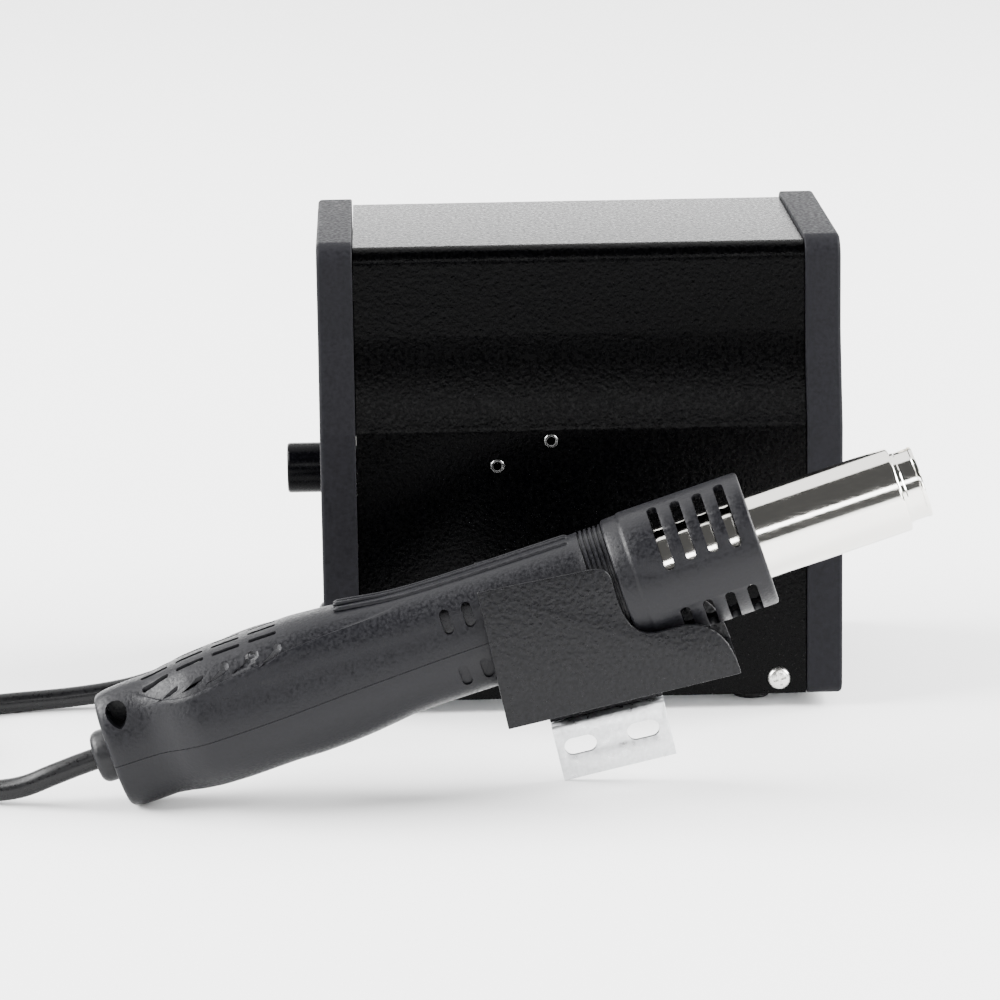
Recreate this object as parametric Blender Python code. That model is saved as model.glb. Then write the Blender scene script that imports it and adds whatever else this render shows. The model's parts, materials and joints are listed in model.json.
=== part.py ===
"""Hot air rework station: control unit, cradle bracket and corded hot-air gun."""
import math

import bmesh
import bpy
from mathutils import Matrix, Vector

for old in list(bpy.data.objects):
    bpy.data.objects.remove(old, do_unlink=True)

MM = 0.001

# ---- control unit, millimetres, +Z up, front panel towards -Y, before centring ----
CASE_LENGTH = 157.0
BEZEL_DEPTH = 10.7
HALF_TOP = 47.0
HALF_LOW = 54.0
CASE_TOP = 143.9
FLARE_TOP = 116.1
FLARE_FOOT = 87.7
CASE_FOOT = 4.0
TOP_RADIUS = 7.0
FOOT_RADIUS = 4.0
BEZEL_PROUD = 1.8
SHEET = 1.0
LIP = 5.0
STEP = 8.0
GAP = 0.3
FRONT = -CASE_LENGTH / 2
REAR = CASE_LENGTH / 2
FRONT_PANEL = -75.5
REAR_PANEL = 74.9
PANEL = 2.0
KNOB_HEIGHT = 66.2
KNOB_RADIUS = 7.8
KNOB_TIP = -89.4
RIVNUTS = ((-25.4, 76.9), (-9.2, 84.3))
SIDE_SCREW_Y = 59.3
SIDE_SCREW_Z = 9.3
GLAND_X = 35.0
GLAND_Z = 24.0

# ---- gun, local frame: origin at the nozzle tip, +Y out of the nozzle, +Z its top ----
GUN_TIP = Vector((140.8, 91.5, 89.6))
GUN_TILT = math.radians(18.3)
TUBE_RADIUS = 12.25
RING_RADIUS = 10.25
COLLAR_RADIUS = 19.4
COLLAR_FRONT = 48.7
COLLAR_BACK = 89.4
TAIL = 240.8
BLOWER_AT = 197.0
# distance back from the tip, top height, bottom depth, half width
HANDLE = (
    (98.0, 17.8, 16.6, 15.2), (112.0, 18.0, 16.1, 15.0), (127.0, 18.2, 15.8, 15.0),
    (141.0, 18.5, 15.5, 15.2), (148.0, 18.8, 15.4, 15.5), (155.0, 19.5, 15.5, 16.0), (162.0, 20.6, 16.2, 16.6),
    (169.0, 21.5, 16.9, 17.3), (175.0, 22.1, 17.2, 18.1), (182.0, 22.4, 17.3, 19.1), (193.0, 22.2, 16.9, 20.3),
    (204.0, 22.0, 17.0, 20.5), (212.0, 21.6, 16.8, 20.0), (218.5, 20.9, 16.3, 17.6), (223.5, 20.2, 15.6, 14.4),
    (227.5, 19.9, 15.2, 12.6), (232.0, 19.8, 15.3, 12.0), (237.0, 19.5, 15.3, 11.8),
    (239.6, 18.8, 14.6, 11.4), (240.8, 17.5, 13.4, 10.4),
)

# ---- cradle bracket, local frame: origin at the cheeks' rear lower corner ----
CRADLE_TILT = math.radians(12.8)
CRADLE_BACK = 132.0
CRADLE_DROP = 24.7
CHEEK_INNER = 16.8
CRADLE_SHEET = 1.5
CHEEK_LINE = (
    (0.0, 0.0), (66.9, 0.0), (66.9, 1.6), (65.9, 8.1), (64.2, 11.4), (61.9, 14.1), (59.6, 16.0),
    (56.7, 17.0), (53.0, 17.3), (47.5, 17.2), (44.6, 17.5), (42.6, 18.4), (41.1, 19.9),
    (39.9, 21.6), (38.9, 24.4), (38.3, 27.2), (38.0, 30.5), (38.0, 35.0), (37.5, 37.1),
    (36.1, 38.5), (33.5, 39.1), (0.7, 40.5),
)
TAB_FROM = 10.9
TAB_TO = 44.1
SKIRT_DROP = 10.8
SLOTS = (17.9, 36.4)
SLOT_DROP = 18.5

# ---- cord ----
CORD = 6.2
COIL_X = 89.0
COIL_Y = -226.0
COIL_RADIUS = 31.5


def material(name, colour, rough, metal=0.0):
    mat = bpy.data.materials.new(name)
    mat.use_nodes = True
    shader = mat.node_tree.nodes["Principled BSDF"]
    shader.inputs["Base Color"].default_value = (*colour, 1.0)
    shader.inputs["Roughness"].default_value = rough
    shader.inputs["Metallic"].default_value = metal
    mat.diffuse_color = (*colour, 1.0)
    return mat


def make(name, verts, faces, look, smooth=35.0):
    """One mesh object from millimetre vertices, outward facing."""
    mesh = bpy.data.meshes.new(name)
    mesh.from_pydata([(x * MM, y * MM, z * MM) for x, y, z in verts], [], faces)
    work = bmesh.new()
    work.from_mesh(mesh)
    bmesh.ops.remove_doubles(work, verts=work.verts, dist=1e-7)
    bmesh.ops.recalc_face_normals(work, faces=work.faces)
    work.to_mesh(mesh)
    work.free()
    obj = bpy.data.objects.new(name, mesh)
    bpy.context.scene.collection.objects.link(obj)
    if look is not None:
        mesh.materials.append(material(name + "_mat", *look))
    shade(mesh, smooth)
    return obj


def shade(mesh, limit):
    mesh.shade_smooth()
    mesh.set_sharp_from_angle(angle=math.radians(limit))


def place(axis, flat, depth):
    """A point of a flat outline put at a depth along the axis."""
    a, b = flat
    if axis == "X":
        return (depth, a, b)
    if axis == "Y":
        return (a, depth, b)
    return (a, b, depth)


def prism(name, outline, axis, lo, hi, look, smooth=35.0):
    n = len(outline)
    verts = [place(axis, p, lo) for p in outline] + [place(axis, p, hi) for p in outline]
    faces = [tuple(range(n)), tuple(range(2 * n - 1, n - 1, -1))]
    faces += [(i, (i + 1) % n, (i + 1) % n + n, i + n) for i in range(n)]
    return make(name, verts, faces, look, smooth)


def box(name, lo, hi, look):
    (x0, y0, z0), (x1, y1, z1) = lo, hi
    return prism(name, [(x0, y0), (x1, y0), (x1, y1), (x0, y1)], "Z", z0, z1, look)


def circle(cx, cy, radius, steps=24):
    turn = 2 * math.pi / steps
    return [(cx + radius * math.cos(turn * i), cy + radius * math.sin(turn * i)) for i in range(steps)]


def rounded(cx, cy, wide, high, radius, steps=4):
    pts = []
    for sx, sy, start in ((1, -1, -90), (1, 1, 0), (-1, 1, 90), (-1, -1, 180)):
        for i in range(steps + 1):
            a = math.radians(start + 90 * i / steps)
            pts.append((cx + sx * (wide / 2 - radius) + radius * math.cos(a),
                        cy + sy * (high / 2 - radius) + radius * math.sin(a)))
    return pts


def lathe(name, profile, axis, centre, look, steps=32, smooth=35.0):
    """Closed turned body: profile is a closed loop of (radius, height)."""
    verts, rows = [], []
    for radius, height in profile:
        row = []
        if radius < 1e-6:
            row = [len(verts)] * steps
            verts.append(place(axis, (centre[0], centre[1]), height))
        else:
            for p in circle(centre[0], centre[1], radius, steps):
                row.append(len(verts))
                verts.append(place(axis, p, height))
        rows.append(row)
    faces = []
    count = len(rows)
    for k in range(count):
        a, b = rows[k], rows[(k + 1) % count]
        for i in range(steps):
            j = (i + 1) % steps
            ring = []
            for v in (a[i], a[j], b[j], b[i]):
                if v not in ring:
                    ring.append(v)
            if len(ring) > 2:
                faces.append(tuple(ring))
    return make(name, verts, faces, look, smooth)


def loft(name, rings, look, cycle=False, smooth=35.0):
    """Rings of equal count joined one to the next, ends capped unless they cycle."""
    n = len(rings[0])
    verts = [p for ring in rings for p in ring]
    faces = []
    spans = len(rings) if cycle else len(rings) - 1
    for k in range(spans):
        a, b = k * n, ((k + 1) % len(rings)) * n
        faces += [(a + i, a + (i + 1) % n, b + (i + 1) % n, b + i) for i in range(n)]
    if not cycle:
        faces.append(tuple(range(n)))
        faces.append(tuple(range(len(verts) - 1, len(verts) - n - 1, -1)))
    return make(name, verts, faces, look, smooth)


def combine(target, tools, how="DIFFERENCE", smooth=35.0):
    """Exact Boolean of the target with each tool, tools removed afterwards."""
    for tool in tools:
        step = target.modifiers.new("step", "BOOLEAN")
        step.operation = how
        step.solver = "EXACT"
        step.object = tool
        tool.hide_render = True
        tool.display_type = "WIRE"
    bpy.context.view_layer.update()
    graph = bpy.context.evaluated_depsgraph_get()
    mesh = bpy.data.meshes.new_from_object(target.evaluated_get(graph))
    target.modifiers.clear()
    while len(mesh.materials) > 1:
        mesh.materials.pop()
    for face in mesh.polygons:
        face.material_index = 0
    mesh.name = target.name
    target.data = mesh
    shade(mesh, smooth)
    for tool in tools:
        bpy.data.objects.remove(tool, do_unlink=True)
    return target


def merged(name, parts):
    """Several separate cutters as one mesh."""
    mesh = bpy.data.meshes.new(name)
    work = bmesh.new()
    for part in parts:
        work.from_mesh(part.data)
        bpy.data.objects.remove(part, do_unlink=True)
    work.to_mesh(mesh)
    work.free()
    obj = bpy.data.objects.new(name, mesh)
    bpy.context.scene.collection.objects.link(obj)
    return obj


def put(objs, origin, tilt):
    for obj in objs:
        obj.location = Vector(origin) * MM
        obj.rotation_euler = (tilt, 0.0, 0.0)


BEZEL = ((0.045, 0.045, 0.048), 0.62)
POWDER = ((0.012, 0.012, 0.013), 0.55)
BLACK = ((0.02, 0.02, 0.021), 0.5)
RUBBER = ((0.015, 0.015, 0.015), 0.8)
STEEL = ((0.62, 0.62, 0.60), 0.3, 1.0)
ZINC = ((0.70, 0.71, 0.72), 0.38, 1.0)
CHROME = ((0.82, 0.81, 0.78), 0.12, 1.0)
COPPER = ((0.55, 0.24, 0.10), 0.35, 1.0)
GREEN = ((0.02, 0.12, 0.05), 0.5)
HANDLE_LOOK = ((0.085, 0.085, 0.09), 0.55)


# ---------------------------------------------------------------- control unit
def case_outline(inset):
    """Case section in X and Z, anticlockwise from the lower right corner."""
    low, top = HALF_LOW - inset, HALF_TOP - inset
    foot, roof = CASE_FOOT + inset, CASE_TOP - inset
    r_foot, r_top = max(FOOT_RADIUS - inset, 0.6), max(TOP_RADIUS - inset, 0.6)
    half = []
    for i in range(4):
        a = math.radians(-90 + 30 * i)
        half.append((low - r_foot + r_foot * math.cos(a), foot + r_foot + r_foot * math.sin(a)))
    z0, z1 = FLARE_FOOT - 0.25 * inset, FLARE_TOP - 0.08 * inset
    for i in range(8):
        t = 1 - i / 7
        half.append((top + (low - top) * (0.3 * t + 0.7 * t * t), z1 - (z1 - z0) * t))
    for i in range(7):
        a = math.radians(15 * i)
        half.append((top - r_top + r_top * math.cos(a), roof - r_top + r_top * math.sin(a)))
    return half + [(-x, z) for x, z in reversed(half)]


def bezel(name, outer, inner, step_at):
    """Frame at one end: outer face rounded, opening stepped to seat the panel."""
    way = 1 if inner > outer else -1
    loops = []
    for k in range(4):
        a = math.radians(30 * k)
        loops.append((1.4 * (1 - math.sin(a)), outer + way * 1.4 * (1 - math.cos(a))))
    loops += [(0.0, inner - way * 0.3), (0.3, inner), (STEP, inner), (STEP, step_at)]
    loops += [(LIP, step_at), (LIP, outer + way * 0.5), (LIP - 0.5, outer)]
    rings = [[(x, y, z) for x, z in case_outline(inset)] for inset, y in loops]
    return loft(name, rings, BEZEL, cycle=True)


front_bezel = bezel("front_bezel", FRONT, FRONT + BEZEL_DEPTH, FRONT_PANEL + PANEL + GAP)
rear_bezel = bezel("rear_bezel", REAR, REAR - BEZEL_DEPTH, REAR_PANEL - PANEL - GAP)

outer = case_outline(BEZEL_PROUD)
inner = case_outline(BEZEL_PROUD + SHEET)
edge = 4.4
skin = [(HALF_LOW - BEZEL_PROUD, edge)] + outer[4:-4] + [(-HALF_LOW + BEZEL_PROUD, edge)]
lining = [(HALF_LOW - BEZEL_PROUD - SHEET, edge)] + inner[4:-4]
lining += [(-HALF_LOW + BEZEL_PROUD + SHEET, edge)]
cover_half = CASE_LENGTH / 2 - BEZEL_DEPTH - GAP
top_cover = prism("top_cover", skin + lining[::-1], "Y", -cover_half, cover_half, POWDER)

wall = HALF_LOW - BEZEL_PROUD
screw_at = [(side, y) for side in (1, -1) for y in (-SIDE_SCREW_Y, SIDE_SCREW_Y)]
holes = [prism("c", circle(y, SIDE_SCREW_Z, 2.2, 16), "X", side * (wall - 3), side * (wall + 3), None)
         for side, y in screw_at]
holes += [prism("c", circle(y, z, 1.8, 16), "X", wall - 3, wall + 3, None) for y, z in RIVNUTS]
combine(top_cover, [merged("cut", holes)])

base_half = wall - SHEET - 0.5
channel = [(-base_half, 24.0), (-base_half, 5.0), (base_half, 5.0), (base_half, 24.0)]
channel += [(base_half - 1.2, 24.0), (base_half - 1.2, 6.2), (-base_half + 1.2, 6.2), (-base_half + 1.2, 24.0)]
base_plate = prism("base_plate", channel, "Y", -66.5, 66.5, ZINC)
holes = [prism("c", circle(y, SIDE_SCREW_Z, 2.2, 16), "X", side * (wall - 4.5), side * (wall + 1), None)
         for side, y in screw_at]
holes += [prism("c", rounded(0, -30 + 9 * i, 34, 3.4, 1.6, 3), "Z", 3, 8, None) for i in range(5)]
combine(base_plate, [merged("cut", holes)])

for i, (side, y) in enumerate(screw_at):
    start = wall + 0.05
    head = [(0.0, start + 2.1), (1.8, start + 2.0), (3.1, start + 1.3), (3.5, start + 0.5), (3.5, start), (1.9, start), (1.9, start - 5.6), (0.0, start - 6.0)]
    head = [(r, side * h) for r, h in head]
    screw = lathe("side_screw_%d" % (i + 1), head, "X", (y, SIDE_SCREW_Z), STEEL, 16)
    z = SIDE_SCREW_Z
    cross = [(y - 2.0, z - .4), (y - .4, z - .4), (y - .4, z - 2.0), (y + .4, z - 2.0), (y + .4, z - .4),
             (y + 2.0, z - .4), (y + 2.0, z + .4), (y + .4, z + .4), (y + .4, z + 2.0), (y - .4, z + 2.0),
             (y - .4, z + .4), (y - 2.0, z + .4)]
    slot = prism("c", cross, "X", side * (start + 1.1), side * (start + 3), None)
    combine(screw, [slot])

for i, (y, z) in enumerate(RIVNUTS):
    ring = [(1.25, wall + 0.3), (1.45, wall + 0.5), (1.9, wall + 0.45), (2.05, wall + 0.25),
            (2.05, wall + 0.05), (1.5, wall + 0.05), (1.5, wall - 5.5), (1.25, wall - 5.5)]
    lathe("rivnut_%d" % (i + 1), ring, "X", (y, z), STEEL, 14)

for i, (x, y) in enumerate(((-36, -52), (36, -52), (-36, 52), (36, 52))):
    foot = [(0.0, 4.7), (6.0, 4.7), (6.0, 1.0), (5.3, 0.0), (0.0, 0.0)]
    lathe("foot_%d" % (i + 1), foot, "Z", (x, y), RUBBER, 16)

# front panel and what it carries
inner_panel = case_outline(LIP + GAP)
front_panel = prism("front_panel", inner_panel, "Y", FRONT_PANEL, FRONT_PANEL + PANEL, BLACK)
back = FRONT_PANEL + PANEL
cuts = [
    prism("c", rounded(0, 112, 54, 26, 2), "Y", FRONT_PANEL - 3, back + 3, None),
    prism("c", rounded(-15, 86, 10.8, 7.8, 1.5), "Y", FRONT_PANEL - 3, back + 3, None),
    prism("c", rounded(15, 86, 10.8, 7.8, 1.5), "Y", FRONT_PANEL - 3, back + 3, None),
    prism("c", circle(0, KNOB_HEIGHT, 3.8), "Y", FRONT_PANEL - 3, back + 3, None),
    prism("c", rounded(-22, 28, 20.2, 13.6, 0.6), "Y", FRONT_PANEL - 3, back + 3, None),
    prism("c", circle(GLAND_X, GLAND_Z, 6.1), "Y", FRONT_PANEL - 3, back + 3, None),
]
combine(front_panel, [merged("cut", cuts)])
prism("display_window", rounded(0, 112, 53.4, 25.4, 1.7), "Y", FRONT_PANEL - 0.2, back - 0.3,
      ((0.05, 0.008, 0.01), 0.08))
display = box("display_module", (-25, back + 0.4, 101), (25, back + 8.4, 123), BLACK)
segments = [box("c", (-18.5 + 13 * k, back - 1, 104), (-7.5 + 13 * k, back + 1.0, 120), None) for k in range(3)]
combine(display, [merged("cut", segments)])

for label, x in (("button_up", 15), ("button_down", -15)):
    cap = prism(label, rounded(x, 86, 10.2, 7.2, 1.3), "Y", -78.2, back + 0.7, ((0.25, 0.25, 0.26), 0.45))
    flange = prism("c", rounded(x, 86, 12.6, 9.6, 1.5), "Y", back + 0.5, back + 1.7, None)
    combine(cap, [flange], "UNION")

pot = box("potentiometer", (-8, back + 0.4, KNOB_HEIGHT - 8), (8, back + 7.6, KNOB_HEIGHT + 8), STEEL)
bush = prism("c", circle(0, KNOB_HEIGHT, 3.4, 20), "Y", -76.4, back + 1, None)
shaft = prism("c", circle(0, KNOB_HEIGHT, 2.9, 20), "Y", -86.0, -76.0, None)
combine(pot, [bush, shaft], "UNION")
kf = -77.0
profile = [(3.2, kf), (7.2, kf), (7.8, kf - 0.6), (7.8, kf - 1.8), (7.5, kf - 2.4), (7.3, KNOB_TIP + 1.4),
           (6.9, KNOB_TIP + 0.5), (6.2, KNOB_TIP), (0.0, KNOB_TIP), (0.0, -86.4), (3.2, -86.4)]
knob = lathe("airflow_knob", profile, "Y", (0, KNOB_HEIGHT), ((0.10, 0.10, 0.105), 0.5), 36)
knob_mark = box("c", (-0.5, KNOB_TIP - 1, KNOB_HEIGHT + 2), (0.5, KNOB_TIP + 0.5, KNOB_HEIGHT + 9), None)
combine(knob, [knob_mark])

housing = prism("switch_housing", rounded(-22, 28, 22.8, 16.2, 1.2), "Y", -77.2, FRONT_PANEL - 0.3, BLACK)
tub = prism("c", rounded(-22, 28, 19.6, 13.0, 0.5), "Y", -76.5, back + 14, None)
combine(housing, [tub], "UNION")
well = prism("c", rounded(-22, 28, 17.2, 10.6, 0.4), "Y", -80, -66, None)
combine(housing, [well])
rocker_line = [(-29.0, -76.2), (-29.6, -69.8), (-14.4, -69.8), (-15.1, -77.9), (-18.4, -76.7), (-22, -76.1),
               (-25.5, -76.0)]
rocker = prism("power_rocker", rocker_line, "Z", 28 - 4.9, 28 + 4.9, ((0.03, 0.03, 0.03), 0.35))

gp = FRONT_PANEL
profile = [(3.5, -80.2), (5.6, -80.2), (6.9, -79.6), (7.6, -78.4), (7.6, gp - 0.3), (5.8, gp - 0.3),
           (5.8, back + 0.3), (7.9, back + 0.3), (7.9, back + 4.6), (3.5, back + 4.6)]
lathe("station_gland", profile, "Y", (GLAND_X, GLAND_Z), BLACK, 24)

# rear panel, inlet and fuse drawer
IX, IZ = 12.0, 36.0
rear_panel = prism("rear_panel", inner_panel, "Y", REAR_PANEL - PANEL, REAR_PANEL, BLACK)
cuts = [prism("c", rounded(IX, IZ, 28.2, 31.8, 0.8), "Y", 70, 78, None)]
cuts += [prism("c", rounded(-24 + 8 * i, 95, 3.2, 30, 1.5, 3), "Y", 70, 78, None) for i in range(7)]
combine(rear_panel, [merged("cut", cuts)])
inlet = prism("iec_inlet", rounded(IX, IZ, 31.6, 35.6, 2.0), "Y", REAR_PANEL + 0.3, REAR_PANEL + 2.3, BLACK)
body = prism("c", rounded(IX, IZ, 27.5, 31.2, 0.8), "Y", 55.0, REAR_PANEL + 1, None)
combine(inlet, [body], "UNION")
mouth = [(IX - 12, IZ - 3.0), (IX + 12, IZ - 3.0), (IX + 12, IZ + 8.0), (IX + 7.5, IZ + 13.0), (IX - 7.5, IZ + 13.0),
         (IX - 12, IZ + 8.0)]
cuts = [prism("c", mouth, "Y", 61.5, 80, None)]
cuts += [prism("c", rounded(IX, IZ - 9.6, 22.4, 8.4, 0.6), "Y", 58.5, 80, None)]
combine(inlet, [merged("cut", cuts)])
pins = [box("c", (IX - 1.0 + dx, 60.5, IZ + dz - 2), (IX + 1.0 + dx, 71.4, IZ + dz + 2), None)
        for dx, dz in ((-7, 3), (7, 3), (0, 8))]
combine(inlet, [merged("cut", pins)], "UNION")
drawer = prism("fuse_drawer", rounded(IX, IZ - 9.6, 21.6, 7.6, 0.5), "Y", 59.5, REAR_PANEL + 2.1, BLACK)
tray = box("c", (IX - 9.4, 61.5, IZ - 11.2), (IX + 9.4, 70.5, IZ + 3), None)
notch = box("c", (IX - 4, REAR_PANEL + 1.4, IZ - 14), (IX + 4, 80, IZ - 12.2), None)
combine(drawer, [tray, notch])

# inside the case
core = box("transformer_core", (-28.5, 8, 7.0), (28.5, 42, 55.0), ((0.30, 0.30, 0.31), 0.55, 0.6))
windows = [box("c", (9.5, 0, 16.5), (19.0, 50, 45.5), None), box("c", (-19.0, 0, 16.5), (-9.5, 50, 45.5), None)]
combine(core, [merged("cut", windows)])
winding = box("transformer_winding", (-18.7, -1, 16.9), (18.7, 51, 45.1), ((0.55, 0.42, 0.10), 0.4))
combine(winding, [box("c", (-9.9, 7.6, 10), (9.9, 42.4, 50), None)])
box("main_board", (-37, -57.5, 8), (37, -55.9, 106), GREEN)
comb = [(-35, -52), (-8, -52), (-8, -49)]
for i in range(5):
    x = -8 - 27 * i / 5
    comb += [(x, -30), (x - 2.4, -30), (x - 2.4, -49), (x - 5.4, -49)]
comb = comb[:-1] + [(-35, -49)]
prism("heat_sink", comb, "Z", 30, 62, ((0.75, 0.75, 0.76), 0.35, 1.0), 20)
can = [(0, -55.6), (7.6, -55.6), (8, -55.0), (8, -33), (7.4, -32.2), (0, -32.2)]
lathe("filter_capacitor", can, "Y", (20, 40), ((0.03, 0.05, 0.16), 0.35), 16)
lathe("start_capacitor", can, "Y", (20, 62), ((0.05, 0.05, 0.06), 0.4), 16)


# -------------------------------------------------------------------- cradle
def cheek(lo, hi):
    return prism("c", CHEEK_LINE, "X", lo, hi, None)


outer_x = CHEEK_INNER + CRADLE_SHEET
cradle = prism("cradle_channel", CHEEK_LINE, "X", CHEEK_INNER, outer_x, POWDER)
web = box("c", (-outer_x + 0.5, 0.0, 0.0), (outer_x - 0.5, 66.9, CRADLE_SHEET), None)
skirt = box("c", (-outer_x, TAB_FROM, -SKIRT_DROP), (-CHEEK_INNER, TAB_TO, 0.5), None)
combine(cradle, [web, cheek(-outer_x, -CHEEK_INNER), skirt], "UNION", 25.0)

TAB_FOOT = -27.80
fx = -CHEEK_INNER
section = [(-outer_x - 0.3, -2.0), (-outer_x - 1.8, -2.0), (-outer_x - 1.8, -12.0), (-outer_x - 1.4, -12.6),
           (fx + 1.2, -12.6), (fx + 1.2, TAB_FOOT), (fx + 2.7, TAB_FOOT), (fx + 2.7, -11.7), (fx + 2.1, -11.1),
           (-outer_x - 0.3, -11.1)]
tab = prism("cradle_tab", section, "Y", TAB_FROM, TAB_TO, ZINC, 25.0)
slots = [prism("c", rounded(a, -SLOT_DROP, 9.4, 5.0, 2.4), "X", fx - 1, fx + 5, None) for a in SLOTS]
combine(tab, [merged("cut", slots)], smooth=25.0)

ct, st = math.cos(GUN_TILT), math.sin(GUN_TILT)
axis_point = GUN_TIP - CRADLE_BACK * Vector((0, ct, st))
cradle_corner = axis_point - CRADLE_DROP * Vector((0, -st, ct))
put([cradle, tab], cradle_corner, CRADLE_TILT)


# ----------------------------------------------------------------------- gun
def handle_size(d):
    """Top, bottom and half width of the handle by smooth steps along its length."""
    for a, b in zip(HANDLE, HANDLE[1:]):
        if d <= b[0]:
            t = max(0.0, (d - a[0]) / (b[0] - a[0]))
            return [a[k] + (b[k] - a[k]) * t for k in (1, 2, 3)]
    return list(HANDLE[-1][1:])


def section_point(size, turn, power=2.25):
    top, bottom, half = size
    c, s = math.cos(turn), math.sin(turn)
    x = half * math.copysign(abs(c) ** (2 / power), c)
    return x, (top if s > 0 else bottom) * math.copysign(abs(s) ** (2 / power), s)


def half_ring(d, size, side, steps=12):
    pts = []
    for i in range(steps + 1):
        x, z = section_point(size, math.pi * i / steps * side)
        if i in (0, steps):
            z = 0.15 * side
        pts.append((x, -d, z))
    return pts


STATIONS = [98.0, 112, 127, 141, 148, 155, 162, 169, 175.5, 182, 187.5, 193, 198.5, 204, 208, 212, 215.5, 218.5,
            221, 223.5, 227.5, 232, 237, 239.6, 240.8]


def handle_half(name, side):
    rings = []
    for d, s in ((84.6, (16.6, 16.6, 14.6)), (89.69, (16.6, 16.6, 14.6)), (89.7, (17.9, 17.4, 15.5))):
        rings.append(half_ring(d, s, side))
    for k in range(5):
        d = 90.5 + 1.4 * k
        rings.append(half_ring(d, (17.9, 17.4, 15.5), side))
        rings.append(half_ring(d + 0.5, (17.3, 16.8, 15.0), side))
    rings += [half_ring(d, handle_size(d), side) for d in STATIONS]
    return loft(name, rings, HANDLE_LOOK, smooth=40.0)


def cavity(cut_name):
    rings = []
    for d in [103.9] + [s for s in STATIONS[1::2] if s < 220] + [222.5, 227.0]:
        size = [v - 2.0 for v in handle_size(d)]
        if d > 226:
            size = [v - 2.5 for v in size]
        rings.append([(x, -d, z) for x, z in (section_point(size, 2 * math.pi * i / 20) for i in range(20))])
    return loft(cut_name, rings, None)


def side_slot(d, high, low, wide, reach):
    """Oval cutter through one flank, given by its height range on the side."""
    n = 6
    pts = []
    for i in range(n + 1):
        a = math.pi * i / n
        pts.append((-d + wide / 2 * math.cos(a), high - wide / 2 + wide / 2 * math.sin(a)))
    for i in range(n + 1):
        a = math.pi + math.pi * i / n
        pts.append((-d + wide / 2 * math.cos(a), low + wide / 2 + wide / 2 * math.sin(a)))
    lo, hi = sorted(reach)
    return prism("c", pts, "X", lo, hi, None)


def handle_cutters(side):
    tools = [cavity("c"), lathe("c", [(0, -82), (10.5, -82), (10.5, -104.2), (0, -104.2)], "Y", (0, 0), None, 32),
             lathe("c", [(0, -227), (4.9, -227), (4.9, -242), (0, -242)], "Y", (0, 1.5), None, 24)]
    many = []
    for flank in (1, -1):
        reach = (flank * 6, flank * 18)
        for d in (132.1, 138.5):
            if side > 0:
                many.append(side_slot(d, 12.7, 5.8, 2.9, reach))
            else:
                many.append(side_slot(d, -3.8, -10.6, 2.9, reach))
        if side > 0:
            for k in range(5):
                many.append(side_slot(187.0 + 7.8 * k, 18.4, 14.4, 2.3, (flank * 9.3, flank * 24)))
    if side > 0:
        for k in range(4):
            for x in (-7.0, -2.4, 2.4, 7.0):
                d = 189 + 11 * k
                many.append(box("c", (x - 0.65, -d - 4.15, 9.5), (x + 0.65, -d + 4.15, 26), None))
        ring = [(-238.0, 14.9), (-237.4, 16.2), (-236.2, 16.8), (-233.8, 16.8), (-232.6, 16.2), (-232.0, 14.9),
                (-232.3, 12.9), (-233.6, 10.6), (-235.0, 9.9), (-236.4, 10.6), (-237.7, 12.9)]
        many.append(prism("c", ring, "X", -16, 16, None))
    for x, d in ((-8.1, 234), (8.1, 234), (-12.3, 100.5), (12.3, 100.5)):
        bore = [(0, -4), (1.6, -4), (1.6, 6.2), (0, 6.2)]
        if side < 0:
            seat = -8.6 if d > 200 else -5.6
            bore = [(0, -30), (2.7, -30), (2.7, seat), (1.6, seat), (1.6, 6.2), (0, 6.2)]
        many.append(lathe("c", bore, "Z", (x, -d), None, 12))
    tools.append(merged("c", many))
    return tools


handle_top = combine(handle_half("handle_top", 1), handle_cutters(1), smooth=40.0)
handle_bottom = combine(handle_half("handle_bottom", -1), handle_cutters(-1), smooth=40.0)
gun = [handle_top, handle_bottom]

for i, (x, d) in enumerate(((-8.1, 234), (8.1, 234), (-12.3, 100.5), (12.3, 100.5))):
    base = -8.9 if d > 200 else -5.9
    line = [(0, base - 1.6), (1.7, base - 1.6), (2.35, base - 0.9), (2.35, base), (1.3, base), (1.3, 5.9), (0, 5.9)]
    gun.append(lathe("handle_screw_%d" % (i + 1), line, "Z", (x, -d), STEEL, 10))


def pierced_tube(name, outside, inside, steps, holes, look):
    """Turned shell of paired outer and inner stations with some cells left open."""
    verts, out, inn = [], [], []
    for rows, line in ((out, outside), (inn, inside)):
        for radius, y in line:
            row = []
            for x, z in circle(0, 0, radius, steps):
                row.append(len(verts))
                verts.append((x, y, z))
            rows.append(row)
    faces = []
    last = len(outside) - 1
    for k in range(last):
        for i in range(steps):
            j = (i + 1) % steps
            if holes(k, i):
                if not holes(k, j):
                    faces.append((out[k][j], out[k + 1][j], inn[k + 1][j], inn[k][j]))
                if not holes(k, (i - 1) % steps):
                    faces.append((out[k][i], inn[k][i], inn[k + 1][i], out[k + 1][i]))
                if not holes(k + 1, i):
                    faces.append((out[k + 1][i], inn[k + 1][i], inn[k + 1][j], out[k + 1][j]))
                if not holes(k - 1, i):
                    faces.append((out[k][i], out[k][j], inn[k][j], inn[k][i]))
            else:
                faces.append((out[k][i], out[k][j], out[k + 1][j], out[k + 1][i]))
                faces.append((inn[k][i], inn[k + 1][i], inn[k + 1][j], inn[k][j]))
    for k in (0, last):
        for i in range(steps):
            j = (i + 1) % steps
            faces.append((out[k][i], out[k][j], inn[k][j], inn[k][i]))
    return make(name, verts, faces, look)


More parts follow.
